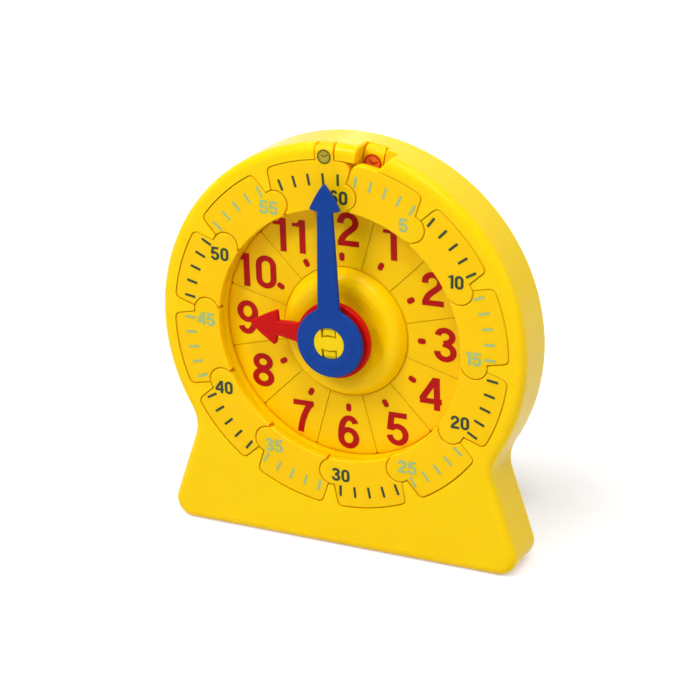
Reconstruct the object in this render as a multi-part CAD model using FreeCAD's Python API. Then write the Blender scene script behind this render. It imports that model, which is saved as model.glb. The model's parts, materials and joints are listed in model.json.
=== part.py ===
import FreeCAD, Part
import math
import os

from FreeCAD import Vector

# Geared teaching clock: a free-standing moulded casing with a ring of twelve hinged minute
# links, a ring of twelve hour tiles, two hands, and the 12:1 gear train behind the face.
# Millimetres. X runs to the clock's right as seen from the front, Y from front to back, Z up.
# The origin is the centre of the flat base. A "depth" is measured from the front face
# backwards; pieces that stand proud of the face have negative depths. Clock angles run
# clockwise from twelve o'clock, in degrees.

# ---- casing ----------------------------------------------------------------------------
disc_radius = 65.0
axis_height = 75.0
foot_half_width = 65.3
foot_slant = 18.7
foot_corner_radius = 6.5
waist_radius = 12.0
rim_round = 3.0
wall = 2.2
front_wall = 2.2
floor_thickness = 1.8
cover_thickness = 2.0
rebate = 1.1
cover_clearance = 0.15

# ---- rings of links and tiles ----------------------------------------------------------
hours = 12
rim_width = 5.4
band_width = 16.4
link_thickness = 3.3
link_skin = 1.8
link_corner_radius = 1.9
link_clearance = 0.3
ledge_thickness = 2.0
knuckle_radius = 4.4
knuckle_margin = 0.4
tongue_radius = 4.0
link_pin_radius = 1.5
tail_relief = 1.2
tooth_tip_round = 0.45
layer_gap = 0.1
pin_clearance = 0.08
edge_break = 0.3
link_lead = 12.0
closing_corner_radius = 3.0
seam_spread = 6.0

tile_face_depth = 6.8
tile_thickness = 2.4
tile_skin = 1.3
tile_clearance = 0.12
tile_seam = 0.14
tile_corner_radius = 0.9
tile_edge_break = 0.12
tile_hinge_inset = 3.5
tile_hinge_reach = 3.0
tile_tongue_radius = 2.2
tile_pin_radius = 1.0

# ---- pull tabs on the last link and the last tile --------------------------------------
blue_tab_angle = -3.6
blue_tab_width = 6.2
red_tab_angle = 9.8
red_tab_width = 6.8
tab_corner_radius = 1.6
tab_clearance = 0.35
slot_edge_round = 0.7
thumb_flare = 36.0
thumb_start = 0.9
thumb_depth = 7.1

# ---- raised boss in the middle of the face ---------------------------------------------
boss_radius = 22.15
boss_height = 4.2
boss_crest_radius = 17.3
boss_dish_radius = 11.0
boss_dish_drop = 1.1
boss_foot_slope = 64.0
boss_flank_fullness = 0.55
boss_bowl_fullness = 0.45

# ---- hands -----------------------------------------------------------------------------
hand_gap = 0.5
hour_hand_back = 0.6
hour_hand_thickness = 2.5
hour_plate_thickness = 1.9
minute_hand_thickness = 2.6
minute_plate_thickness = 1.5
hand_edge_round = 0.6

hour_hub_radius = 12.95
hour_hand_reach = 30.5
hour_arrow_width = 12.5
hour_arrow_length = 10.3
hour_shaft_root = 6.6
hour_shaft_end = 5.1
hour_hand_angle = 274.0

minute_hub_radius = 11.65
minute_hand_reach = 53.6
minute_arrow_width = 11.0
minute_arrow_length = 9.4
minute_shaft_root = 7.7
minute_shaft_end = 5.3
minute_hand_angle = -1.6

arrow_barb_sweep = 0.5
arrow_side_bulge = 0.25
arrow_tip_round = 0.65
arrow_barb_round = 0.6
shaft_root_round = 2.0
hub_pad_radius = 8.4
hub_pad_height = 0.12
hub_pad_break = 0.1
hour_collar_radius = 9.0

# ---- arbor, hour tube and their running fits -------------------------------------------
running_clearance = 0.06
seat_clearance = 0.05
arbor_radius = 3.4
head_radius = 5.4
head_edge_round = 0.3
head_step = 0.3
snap_width = 4.1
snap_reach = 3.0
snap_recess = 0.45
snap_side_slot = 0.7
snap_root_slot = 0.6
snap_root_bow = 0.45
snap_slot_depth = 3.9
snap_nose = 1.2
snap_finger = 0.9
snap_shelf_gap = 0.1
snap_bevel_length = 1.3
snap_bevel_drop = 0.5
tube_wall = 2.14
tube_seat_step = 0.6
tube_flat_step = 1.1
tube_front_gap = 0.05

# ---- gear train ------------------------------------------------------------------------
gear_module = 0.8
pressure_angle = 20.0
addendum = 0.6
dedendum = 0.8
backlash = 0.12
minute_pinion_teeth = 15
reduction_wheel_teeth = 45
reduction_pinion_teeth = 12
gear_thickness = 2.0
wheel_float = 0.25
gear_gap = 0.4
rear_float = 0.75
post_radius = 2.0
hub_radius = 4.0
hub_height = 0.5
pivot_radius_rear = 2.5
pivot_length = 1.6
post_tip_length = 1.0
bearing_boss_radius = 5.0
bearing_boss_height = 0.45
blind_end_gap = 0.2
web_radius = 2.0

# ---- fasteners -------------------------------------------------------------------------
screw_radius = 1.3
screw_length = 9.0
screw_head_radius = 2.4
screw_head_height = 1.1
screw_head_break = 0.45
screw_tip_break = 0.5
screw_clearance = 0.05
screw_hole_clearance = 0.3
counterbore_depth = 1.2
screw_boss_radius = 3.2
rim_boss_angle = 55.0
rim_boss_radius = 52.5
foot_boss_x = 47.0
foot_boss_z = 13.0

# ---- sizes that follow from those above ------------------------------------------------
pitch = 360.0 / hours
half_pitch = pitch / 2
link_outer = disc_radius - rim_width
link_inner = link_outer - band_width
hinge_circle = link_inner + knuckle_margin + knuckle_radius
link_half_width = hinge_circle * math.sin(math.radians(half_pitch))
tooth_tip_circle = hinge_circle + knuckle_radius + link_clearance
tile_outer = link_inner - tile_clearance
tile_inner = boss_radius + tile_clearance
tile_back = tile_face_depth + tile_thickness
floor_back = tile_back + floor_thickness
wheel_front = floor_back + wheel_float
wheel_back = wheel_front + gear_thickness
pinion_front = wheel_back + gear_gap
pinion_back = pinion_front + gear_thickness
cover_front = pinion_back + rear_float
body_depth = cover_front + cover_thickness
front_y = -body_depth / 2

hour_wheel_teeth = minute_pinion_teeth + reduction_wheel_teeth - reduction_pinion_teeth
centre_distance = gear_module * (minute_pinion_teeth + reduction_wheel_teeth) / 2

hour_hand_front = -hour_hand_back - hour_hand_thickness
minute_hand_back = hour_hand_front - hand_gap
minute_hand_front = minute_hand_back - minute_hand_thickness
arbor_pivot_end = pinion_back + pivot_length
tube_bore = arbor_radius + running_clearance
tube_radius = tube_bore + tube_wall
seat_radius = tube_radius - tube_seat_step
seat_flat = tube_radius - tube_flat_step

# ---- working values --------------------------------------------------------------------
FAR = 400.0     # longer than anything on the clock
PAST = 1.0      # how far a cutter runs past the surface that it opens
JOIN = 0.5      # how far two forms of one solid run into each other
CLOSE = 0.02    # how near an edge must be to a circle to be taken as lying on it


# ---- drawing aids ----------------------------------------------------------------------
def at(u, v, depth=0.0):
    """A point u right of and v above the clock axis, at a depth behind the front face."""
    return Vector(u, front_y + depth, axis_height + v)


def polar(angle, radius, depth=0.0):
    """A point at a clock angle and radius about the clock axis."""
    turn = math.radians(angle)
    return at(radius * math.sin(turn), radius * math.cos(turn), depth)


def turned(shape, angle, u=0.0, v=0.0):
    """A copy turned clockwise about the line through (u, v) along Y."""
    copy = shape.copy()
    copy.rotate(at(u, v), Vector(0, 1, 0), angle)
    return copy


def slab(wire, near, far):
    """The wire, drawn at depth 0, filled and given depth from near to far."""
    face = Part.Face(wire)
    face.translate(Vector(0, near, 0))
    return face.extrude(Vector(0, far - near, 0))


def disc(radius, near, far, u=0.0, v=0.0):
    return Part.makeCylinder(radius, far - near, at(u, v, near), Vector(0, 1, 0))


def block(left, right, low, high, near, far):
    return Part.makeBox(right - left, far - near, high - low, at(left, low, near))


def polygon(points):
    corners = [at(u, v) for u, v in points]
    return Part.makePolygon(corners + corners[:1])


def arc(start, middle, end):
    return Part.Arc(start, middle, end).toShape()


def line(start, end):
    return Part.LineSegment(start, end).toShape()


def depth_edges(shape, chosen):
    """Edges that run straight from front to back where chosen(u, v, depth) is true."""
    found = []
    for edge in shape.Edges:
        box = edge.BoundBox
        if box.XLength > 1e-4 or box.ZLength > 1e-4:
            continue
        middle = box.Center
        if chosen(middle.x, middle.z - axis_height, middle.y - front_y):
            found.append(edge)
    return found


def edges_at_depth(shape, depth, chosen=None):
    """Edges that lie flat at a depth, where chosen(u, v) is true of their middle."""
    found = []
    for edge in shape.Edges:
        box = edge.BoundBox
        if box.YLength > 1e-4 or abs(box.YMin - front_y - depth) > 1e-4:
            continue
        middle = edge.valueAt((edge.FirstParameter + edge.LastParameter) / 2)
        if chosen is None or chosen(middle.x, middle.z - axis_height):
            found.append(edge)
    return found


def one_solid(shape):
    """The single solid of a boolean result, with seams between like faces removed."""
    clean = shape.removeSplitter()
    if len(clean.Solids) != 1:
        raise ValueError("expected one solid, got %d" % len(clean.Solids))
    return clean.Solids[0]


# ---- casing ----------------------------------------------------------------------------
def body_outline(inset):
    """The casing's front outline, moved inwards by inset: a disc that runs through two
    hollow waists into a splayed foot with rounded corners."""
    slant = math.radians(foot_slant)
    normal = Vector(math.cos(slant), 0, math.sin(slant))
    down = Vector(math.sin(slant), 0, -math.cos(slant))
    centre = Vector(0, 0, axis_height)
    side_offset = foot_half_width * math.cos(slant)

    corner_x = (side_offset - foot_corner_radius * (1 + math.sin(slant))) / math.cos(slant)
    corner = Vector(corner_x, 0, foot_corner_radius)
    along_normal = side_offset + waist_radius - axis_height * math.sin(slant)
    reach = disc_radius + waist_radius
    waist = centre + normal * along_normal + down * math.sqrt(reach ** 2 - along_normal ** 2)

    to_waist = (waist - centre).normalize()
    hollow = waist_radius + inset
    hollow_middle = waist - (to_waist + normal).normalize() * hollow
    corner_round = foot_corner_radius - inset
    corner_middle = corner + (normal + Vector(0, 0, -1)).normalize() * corner_round

    right = [
        centre + to_waist * (disc_radius - inset),
        hollow_middle,
        waist - normal * hollow,
        corner + normal * corner_round,
        corner_middle,
        corner - Vector(0, 0, corner_round),
    ]
    left = [Vector(-p.x, 0, p.z) for p in right]
    top = centre + Vector(0, 0, disc_radius - inset)
    edges = [arc(left[0], top, right[0])]
    for side in (right, left):
        edges.append(arc(*side[0:3]))
        edges.append(line(side[2], side[3]))
        edges.append(arc(*side[3:6]))
    edges.append(line(right[5], left[5]))
    wire = Part.Wire(Part.__sortEdges__(edges))
    wire.translate(Vector(0, front_y, 0))
    return wire


def casing_block():
    """The solid outer form of the casing, with its rounded front edge."""
    solid = slab(body_outline(0.0), 0, body_depth)
    return solid.makeFillet(rim_round, edges_at_depth(solid, 0))


def minute_recess():
    """The pocket that the minute links lie in, with a casing tooth left between links."""
    ring = disc(tooth_tip_circle, -PAST, link_thickness)
    pocket = link_blank(link_clearance, -PAST, link_thickness)
    recess = ring.multiFuse([turned(pocket, link_angle(k)) for k in range(hours)])
    # The open joint of the line, between the last link and the first, has no tooth.
    seam = link_angle(0) - half_pitch
    gap = sector(seam - seam_spread, seam + seam_spread, link_outer + link_clearance)
    return recess.fuse(slab(gap, -PAST, link_thickness))


def sector(start, end, radius):
    return Part.Wire([
        line(at(0, 0), polar(start, radius)),
        arc(polar(start, radius), polar((start + end) / 2, radius), polar(end, radius)),
        line(polar(end, radius), at(0, 0)),
    ])


def centre_boss():
    """The raised ring round the hands: a sloping flank, a rounded crest and a dish."""
    foot = Vector(boss_radius, front_y + tile_face_depth, 0)
    crest = Vector(boss_crest_radius, front_y + tile_face_depth - boss_height, 0)
    dish = Vector(boss_dish_radius, crest.y + boss_dish_drop, 0)
    slope = math.radians(boss_foot_slope)
    flank_handle = (boss_radius - boss_crest_radius) * boss_flank_fullness
    crest_handle = (boss_crest_radius - boss_dish_radius) * boss_bowl_fullness
    flank = Part.BezierCurve()
    flank.setPoles([foot,
                    foot + Vector(-math.cos(slope), -math.sin(slope), 0) * flank_handle,
                    crest + Vector(flank_handle, 0, 0), crest])
    bowl = Part.BezierCurve()
    bowl.setPoles([crest, crest - Vector(crest_handle, 0, 0),
                   dish + Vector(crest_handle, 0, 0), dish])
    back = front_y + floor_back
    edges = [
        flank.toShape(),
        bowl.toShape(),
        line(dish, Vector(0, dish.y, 0)),
        line(Vector(0, dish.y, 0), Vector(0, back, 0)),
        line(Vector(0, back, 0), Vector(boss_radius, back, 0)),
        line(Vector(boss_radius, back, 0), foot),
    ]
    solid = Part.Face(Part.Wire(edges)).revolve(Vector(0, 0, 0), Vector(0, 1, 0), 360)
    solid.translate(Vector(0, 0, axis_height))
    return solid


def boss_hollow():
    """The space behind the centre boss that keeps its wall even."""
    inner = tube_radius + running_clearance + web_radius
    outer = boss_crest_radius - web_radius
    near = tile_face_depth - boss_height + boss_dish_drop + floor_thickness
    return disc(outer, near, floor_back + PAST).cut(
        disc(inner, near - PAST, floor_back + 2 * PAST))


def tab_slot(angle, width, far):
    """The gap in the rim for a pull tab."""
    half = width / 2 + tab_clearance
    return turned(block(-half, half, link_outer - link_corner_radius, disc_radius + PAST,
                        -PAST, far), angle)


def thumb_spread(radius):
    """How far the red tab's gap is flared at a radius."""
    return (radius - link_outer + thumb_start) * math.tan(math.radians(thumb_flare))


def thumb_notch():
    """The flare on the clockwise side of the red tab's gap, for a thumb."""
    half = red_tab_width / 2 + tab_clearance
    low = link_outer - thumb_start
    high = disc_radius + PAST
    wire = polygon([(0, low), (0, high), (half + thumb_spread(high), high), (half, low)])
    return turned(slab(wire, -PAST, thumb_depth), red_tab_angle)


def thumb_block():
    """The rim's wall and floor behind the thumb notch."""
    right = red_tab_width / 2 + tab_clearance + thumb_spread(disc_radius) + floor_thickness
    low = link_outer - thumb_start - floor_thickness
    return turned(block(0, right, low, disc_radius, front_wall / 2,
                        thumb_depth + floor_thickness), red_tab_angle)


def arm_trough(angle, width, spare, near, far):
    """A straight channel under the minute links for the arm of the red tab."""
    half = width / 2 + tab_clearance + spare
    low = link_inner - tile_corner_radius
    return turned(block(-half, half, low, disc_radius + PAST, near, far), angle)


def screw_points():
    """Screw places as (u, v, depth where the boss starts)."""
    turn = math.radians(rim_boss_angle)
    rim_u = rim_boss_radius * math.sin(turn)
    rim_v = rim_boss_radius * math.cos(turn)
    under_ring = link_thickness + ledge_thickness / 2
    foot_v = foot_boss_z - axis_height
    return [(rim_u, rim_v, under_ring), (-rim_u, rim_v, under_ring),
            (foot_boss_x, foot_v, front_wall / 2), (-foot_boss_x, foot_v, front_wall / 2)]


def front_housing():
    outer = casing_block()
    shell = outer.cut(slab(body_outline(wall), front_wall, body_depth + PAST))

    ledge_back = link_thickness + ledge_thickness
    inside = [
        disc(disc_radius - wall / 2, front_wall / 2, ledge_back),
        disc(link_inner + wall, front_wall / 2, floor_back),
        arm_trough(red_tab_angle, red_tab_width, floor_thickness, front_wall / 2, floor_back),
        thumb_block(),
    ]
    inside += [disc(screw_boss_radius, near, cover_front, u, v) for u, v, near in screw_points()]
    shell = shell.fuse(inside[0].multiFuse(inside[1:]).common(outer))

    shell = shell.cut(minute_recess())
    shell = shell.cut(disc(link_inner, -PAST, tile_back))
    shell = shell.fuse(centre_boss())
    shell = shell.cut(boss_hollow())
    shell = shell.fuse(disc(post_radius, floor_back - floor_thickness / 2,
                            cover_front + post_tip_length, 0, -centre_distance))

    cuts = [
        disc(tube_radius + running_clearance, -FAR, floor_back + PAST),
        tab_slot(blue_tab_angle, blue_tab_width, link_thickness),
        tab_slot(red_tab_angle, red_tab_width, tile_back),
        thumb_notch(),
        arm_trough(red_tab_angle, red_tab_width, 0, link_thickness - PAST, tile_back),
        slab(body_outline(rebate), cover_front, body_depth + PAST).cut(
            disc(post_radius, cover_front - PAST, cover_front + post_tip_length,
                 0, -centre_distance)),
    ]
    for u, v, _ in screw_points():
        cuts.append(disc(screw_radius + screw_clearance, cover_front - screw_length,
                         cover_front + PAST, u, v))
    shell = shell.cut(cuts[0].multiFuse(cuts[1:]))
    shell = one_solid(shell.makeFillet(tooth_tip_round, depth_edges(shell, is_tooth_tip)))
    return one_solid(shell.makeFillet(slot_edge_round, depth_edges(shell, is_slot_mouth)))


def is_tooth_tip(u, v, depth):
    radius = math.hypot(u, v)
    return depth < link_thickness and abs(radius - tooth_tip_circle) < CLOSE


def is_slot_mouth(u, v, depth):
    """A corner where a side of a tab's gap meets the rim's outer face."""
    near_tabs = math.hypot(u, v - disc_radius) < disc_radius / 3
    return near_tabs and abs(math.hypot(u, v) - disc_radius) < CLOSE


def rear_cover():
    plate = slab(body_outline(rebate + cover_clearance), cover_front, body_depth)
    plate = plate.fuse(disc(bearing_boss_radius, cover_front - bearing_boss_height,
                            cover_front + JOIN))
    holes = [
        disc(pivot_radius_rear + running_clearance, cover_front - bearing_boss_height - PAST,
             arbor_pivot_end + blind_end_gap),
        disc(post_radius + seat_clearance, cover_front - PAST,
             cover_front + post_tip_length + blind_end_gap, 0, -centre_distance),
    ]
    for u, v, _ in screw_points():
        holes.append(disc(screw_radius + screw_hole_clearance, cover_front - PAST,
                          body_depth + PAST, u, v))
        holes.append(disc(screw_head_radius + screw_hole_clearance,
                          body_depth - counterbore_depth, body_depth + PAST, u, v))
    return one_solid(plate.cut(holes[0].multiFuse(holes[1:])))


def cover_screws():
    """Four self-tapping screws, heads seated in the cover's counterbores."""
    seat = body_depth - counterbore_depth
    screws = []
    for u, v, _ in screw_points():
        head = disc(screw_head_radius, seat, seat + screw_head_height, u, v)
        head = head.makeChamfer(screw_head_break, edges_at_depth(head, seat + screw_head_height))
        tip = cover_front - screw_length + blind_end_gap
        shank = disc(screw_radius, tip, seat + screw_head_height / 2, u, v)
        shank = shank.makeChamfer(screw_tip_break, edges_at_depth(shank, tip))
        screws.append(one_solid(head.fuse(shank)))
    return Part.Compound(screws)


# ---- minute line -----------------------------------------------------------------------
def link_angle(index):
    """Clock angle of a link's middle: its printed number sits near its clockwise end."""
    return pitch * (index + 1) - link_lead


def link_corner(half, outer, rounding):
    """Start, middle and end of a rounded outer corner, from the side to the outer arc."""
    u = half - rounding
    v = math.sqrt((outer - rounding) ** 2 - u ** 2)
    diagonal = math.atan2(v, u) / 2
    middle = (u + rounding * math.cos(diagonal), v + rounding * math.sin(diagonal))
    scale = outer / (outer - rounding)
    return (half, v), middle, (u * scale, v * scale)


def link_blank(grow, near, far, left_rounding=link_corner_radius):
    """A link's straight-sided head, from its rounded outer corners down to the hinge."""
    outer = link_outer + grow
    half = link_half_width + grow
    right = [at(u, v) for u, v in link_corner(half, outer, link_corner_radius + grow)]
    left = [at(-u, v) for u, v in link_corner(half, outer, left_rounding + grow)]
    low = hinge_circle * math.cos(math.radians(half_pitch))
    wire = Part.Wire([
        line(at(-half, low), left[0]),
        arc(*left),
        arc(left[2], at(0, outer), right[2]),
        arc(right[2], right[1], right[0]),
        line(right[0], at(half, low)),
        line(at(half, low), at(-half, low)),
    ])
    return slab(wire, near, far)


def pivot(side):
    """The hinge centre at a link's clockwise (+1) or anticlockwise (-1) end."""
    turn = math.radians(half_pitch)
    return side * hinge_circle * math.sin(turn), hinge_circle * math.cos(turn)


def closing_head(near, far):
    """The last link's head, filled out on its clockwise side to meet the first link."""
    own_side = block(-FAR, -link_half_width, -FAR, FAR, near - PAST, far + PAST)
    next_side = block(-link_half_width - link_clearance, FAR, -FAR, FAR, near - PAST, far + PAST)
    head = slab(sector(-pitch, pitch, link_outer), near, far)
    head = head.cut(disc(hinge_circle - JOIN, near - PAST, far + PAST))
    head = head.cut(own_side).cut(turned(next_side, pitch))
    for side, rounding in ((-1, link_corner_radius), (1, closing_corner_radius)):
        head = head.makeFillet(rounding, depth_edges(
            head, lambda u, v, depth: side * u > 0 and math.hypot(u, v) > link_outer - CLOSE))
    return head


def link_body(index, near, far):
    """One layer of a link without its hinge parts."""
    root = disc(hinge_circle, near, far).cut(disc(link_inner, near - PAST, far + PAST))
    root = root.common(block(-link_half_width, link_half_width, 0, link_outer,
                             near - PAST, far + PAST))
    if index == hours - 1:
        return root.fuse(closing_head(near, far))
    left_rounding = closing_corner_radius if index == 0 else link_corner_radius
    return root.fuse(link_blank(0.0, near, far, left_rounding))


def neighbour_relief(near, far):
    """Room at the tail for the inner corner of the next link round."""
    edge = link_half_width + tail_relief
    low = link_inner - 2 * knuckle_radius
    solid = block(0, edge, low, pivot(1)[1], near, far)
    return turned(solid, -pitch)


def minute_link(index):
    """A link: its knuckle and pin at the clockwise end lie over the next link's tongue."""
    first = index == 0
    last = index == hours - 1
    right_u, right_v = pivot(1)
    left_u, left_v = pivot(-1)
    before, after = link_skin - PAST, link_thickness + PAST

    skin = link_body(index, 0, link_skin)
    skin = skin.fuse(disc(knuckle_radius, 0, link_skin, right_u, right_v))
    skin = skin.cut(disc(knuckle_radius + link_clearance, -PAST, link_skin + PAST, left_u, left_v))
    skin = skin.cut(neighbour_relief(-PAST, link_skin + PAST))

    core = link_body(index, link_skin, link_thickness)
    core = core.cut(neighbour_relief(before, after))
    if last:
        core = core.cut(disc(knuckle_radius + link_clearance, before, after, right_u, right_v))
    else:
        core = core.cut(disc(tongue_radius + link_clearance, before, after, right_u, right_v))
        core = core.fuse(disc(link_pin_radius, link_skin, link_thickness, right_u, right_v))
    if first:
        core = core.cut(disc(knuckle_radius + link_clearance, before, after, left_u, left_v))
    else:
        core = core.fuse(disc(tongue_radius, link_skin + layer_gap, link_thickness, left_u, left_v))
        core = core.cut(disc(link_pin_radius + pin_clearance, before, after, left_u, left_v))
    link = turned(one_solid(skin.fuse(core)), link_angle(index))
    if last:
        link = link.fuse(pull_tab(blue_tab_angle, blue_tab_width, 0, link_thickness,
                                  link_outer - link_corner_radius))
        link = one_solid(link)
    return one_solid(link.makeChamfer(edge_break, edges_at_depth(link, 0, in_ring)))


def in_ring(u, v):
    return math.hypot(u, v) < link_outer + link_clearance


def pull_tab(angle, width, near, far, root):
    """A tab through the rim that carries on the casing's rounded front edge."""
    tab = block(-width / 2, width / 2, root, disc_radius + PAST, near, far)
    tab = tab.common(disc(disc_radius, near, far))
    ends = depth_edges(tab, lambda u, v, depth: math.hypot(u, v) > disc_radius - CLOSE)
    tab = turned(tab.makeFillet(tab_corner_radius, ends), angle)
    rim = casing_block()
    rim.translate(Vector(0, near, 0))
    return tab.common(rim)


# ---- hour line -------------------------------------------------------------------------
def tile_hinge_point():
    """Hinge centre under the clockwise neighbour, off the seam by its reach."""
    turn = math.radians(half_pitch)
    radius = tile_outer - tile_hinge_inset
    u = radius * math.sin(turn) + tile_hinge_reach * math.cos(turn)
    v = radius * math.cos(turn) - tile_hinge_reach * math.sin(turn)
    return u, v


def tile_tongue(grow, near, far):
    """The tongue that reaches under the clockwise neighbour."""
    u, v = tile_hinge_point()
    radius = tile_tongue_radius + grow
    neck = block(-2 * tile_hinge_reach, 0, -radius, radius, near, far)
    neck = turned(neck, half_pitch)
    neck.translate(Vector(u, 0, v))
    return disc(radius, near, far, u, v).fuse(neck)


def hour_tile(index):
    first = index == 0
    last = index == hours - 1
    near, far = tile_face_depth, tile_back
    layer = near + tile_skin
    apex = tile_seam / 2 / math.sin(math.radians(half_pitch))
    side_u = FAR * math.sin(math.radians(half_pitch))
    side_v = apex + FAR * math.cos(math.radians(half_pitch))
    wedge = slab(polygon([(0, apex), (-side_u, side_v), (side_u, side_v)]), near, far)
    ring = disc(tile_outer, near, far).cut(disc(tile_inner, near - PAST, far + PAST))
    tile = ring.common(wedge)
    corners = depth_edges(tile, lambda u, v, depth: math.hypot(u, v) > tile_outer - CLOSE)
    tile = tile.makeFillet(tile_corner_radius, corners)
    tile = tile.makeChamfer(tile_edge_break, edges_at_depth(tile, near))

    u, v = tile_hinge_point()
    if not first:
        tile = tile.cut(turned(tile_tongue(tile_clearance, layer, far + PAST), -pitch))
        pin = disc(tile_pin_radius, layer - tile_skin / 2, far, u, v)
        tile = tile.fuse(turned(pin, -pitch))
    if not last:
        tongue = tile_tongue(0.0, layer + layer_gap, far)
        tongue = tongue.cut(disc(tile_pin_radius + pin_clearance, near, far + PAST, u, v))
        tile = tile.fuse(tongue)
    tile = turned(tile, pitch * (index + 1))
    if last:
        arm = pull_tab(red_tab_angle, red_tab_width, near, far, tile_outer - tile_corner_radius)
        tile = tile.fuse(arm)
    return one_solid(tile)


# ---- hands -----------------------------------------------------------------------------
def hand_blank(hub, reach, arrow_width, arrow_length, root, end, near, far):
    """A hand pointing at twelve: round hub, tapering shaft and an arrow with full sides."""
    neck = reach - arrow_length
    half = arrow_width / 2
    barb = neck + arrow_barb_sweep
    hub_v = math.sqrt(hub ** 2 - (root / 2) ** 2)
    side_middle = (half / 2 + arrow_side_bulge, (barb + reach + arrow_side_bulge) / 2)
    wire = Part.Wire([
        arc(at(-root / 2, hub_v), at(0, -hub), at(root / 2, hub_v)),
        line(at(root / 2, hub_v), at(end / 2, neck)),
        line(at(end / 2, neck), at(half, barb)),
        arc(at(half, barb), at(*side_middle), at(0, reach)),
        arc(at(0, reach), at(-side_middle[0], side_middle[1]), at(-half, barb)),
        line(at(-half, barb), at(-end / 2, neck)),
        line(at(-end / 2, neck), at(-root / 2, hub_v)),
    ])
    hand = slab(wire, near, far)
    roundings = [
        (arrow_tip_round, lambda u, v: v > reach - CLOSE),
        (arrow_barb_round, lambda u, v: abs(abs(u) - half) < CLOSE),
        (shaft_root_round, lambda u, v: v > 0 and abs(math.hypot(u, v) - hub) < CLOSE),
    ]
    for radius, place in roundings:
        corners = depth_edges(hand, lambda u, v, depth: place(u, v))
        hand = hand.makeFillet(radius, corners)
    return hand.makeFillet(hand_edge_round, edges_at_depth(hand, near))


def minute_hand():
    """The long hand: a thin plate, with a raised pad on its hub and a collar behind it."""
    near = minute_hand_front + hub_pad_height
    far = near + minute_plate_thickness
    hand = hand_blank(minute_hub_radius, minute_hand_reach, minute_arrow_width,
                      minute_arrow_length, minute_shaft_root, minute_shaft_end, near, far)
    pad = disc(hub_pad_radius, minute_hand_front, minute_hand_back)
    pad = pad.makeChamfer(hub_pad_break, edges_at_depth(pad, minute_hand_front))
    hand = hand.fuse(pad)
    hole = head_radius + seat_clearance
    hand = hand.cut(disc(hole, minute_hand_front - PAST, minute_hand_back + PAST))
    for side in (0, 180):
        hand = hand.fuse(turned(drive_lug(), side))
    return one_solid(turned(hand, minute_hand_angle))


def drive_lug():
    """The ledge inside the hand's hole that a snap hook holds and the head's notch drives."""
    near = minute_hand_front + snap_nose + seat_clearance
    low = head_radius - snap_reach + snap_root_bow + snap_finger + seat_clearance
    lug = block(-snap_width / 2, snap_width / 2, low, head_radius + PAST, near, minute_hand_back)
    return lug.common(disc(head_radius + JOIN, near, minute_hand_back))


def bowed(half, low, high):
    """A straight-sided outline whose lower end bows outwards in the middle."""
    return Part.Wire([
        arc(at(-half, low), at(0, low + snap_root_bow), at(half, low)),
        line(at(half, low), at(half, high)),
        line(at(half, high), at(-half, high)),
        line(at(-half, high), at(-half, low)),
    ])


def snap_cut():
    """What is cut from the head to leave one snap hook: a slot round the hook's sides and
    inner end, the shelf behind its nose, the slope that leads it in, and the step by which
    its front lies below the head's."""
    half = snap_width / 2
    root = head_radius - snap_reach
    edge = head_radius + PAST
    wide = half + snap_side_slot
    opening = bowed(wide, root - snap_root_slot, edge)
    hook = slab(bowed(half, root, edge), minute_hand_front - 2 * PAST, FAR)
    slot = slab(opening, minute_hand_front - PAST, minute_hand_back).cut(hook)
    deep = slab(opening, minute_hand_front - PAST, minute_hand_front + snap_slot_depth).cut(hook)
    deep = deep.common(block(-half, half, 0, edge, minute_hand_front - PAST, FAR))
    shelf = block(-half - snap_shelf_gap, half + snap_shelf_gap,
                  root + snap_root_bow + snap_finger, edge,
                  minute_hand_front + snap_nose, minute_hand_back)
    front = slab(opening, minute_hand_front - PAST, minute_hand_front + snap_recess)
    return slot.multiFuse([deep, shelf, front, snap_bevel()])


def snap_bevel():
    half = snap_width / 2
    start = head_radius - snap_bevel_length
    end = head_radius + snap_bevel_length
    front = minute_hand_front + snap_recess
    profile = Part.makePolygon([
        at(-half, start, front),
        at(-half, end, front),
        at(-half, end, front + 2 * snap_bevel_drop),
        at(-half, start, front),
    ])
    return Part.Face(profile).extrude(Vector(snap_width, 0, 0))


def minute_arbor():
    """Head with two snap hooks, shaft, drive pinion and rear pivot in one."""
    head = disc(head_radius, minute_hand_front, minute_hand_back + head_step)
    head = head.makeFillet(head_edge_round, edges_at_depth(head, minute_hand_front))
    for side in (0, 180):
        head = head.cut(turned(snap_cut(), side))
    head = turned(head, minute_hand_angle)
    shaft = disc(arbor_radius, minute_hand_back + head_step / 2, pinion_front + gear_thickness / 2)
    pinion = slab(gear_wire(minute_pinion_teeth, 180.0), pinion_front, pinion_back)
    shoulder = disc(hub_radius, pinion_back, pinion_back + rear_float / 3)
    rear = disc(pivot_radius_rear, pinion_back, arbor_pivot_end)
    return one_solid(head.multiFuse([shaft, pinion, shoulder, rear]))


def tube_seat(grow, near, far):
    """The hour tube's front end: round with two flats that drive the hour hand."""
    flat = seat_flat + grow
    return disc(seat_radius + grow, near, far).common(
        block(-flat, flat, -FAR, FAR, near, far))


def hour_hand():
    """The short hand: a thin plate on a collar, keyed on the tube's flats."""
    near, far = hour_hand_front, -hour_hand_back
    hand = hand_blank(hour_hub_radius, hour_hand_reach, hour_arrow_width, hour_arrow_length,
                      hour_shaft_root, hour_shaft_end, near, near + hour_plate_thickness)
    hand = hand.fuse(disc(hour_collar_radius, near + JOIN, far))
    hand = hand.cut(tube_seat(seat_clearance, near - PAST, far + PAST))
    return one_solid(turned(hand, hour_hand_angle))


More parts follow.
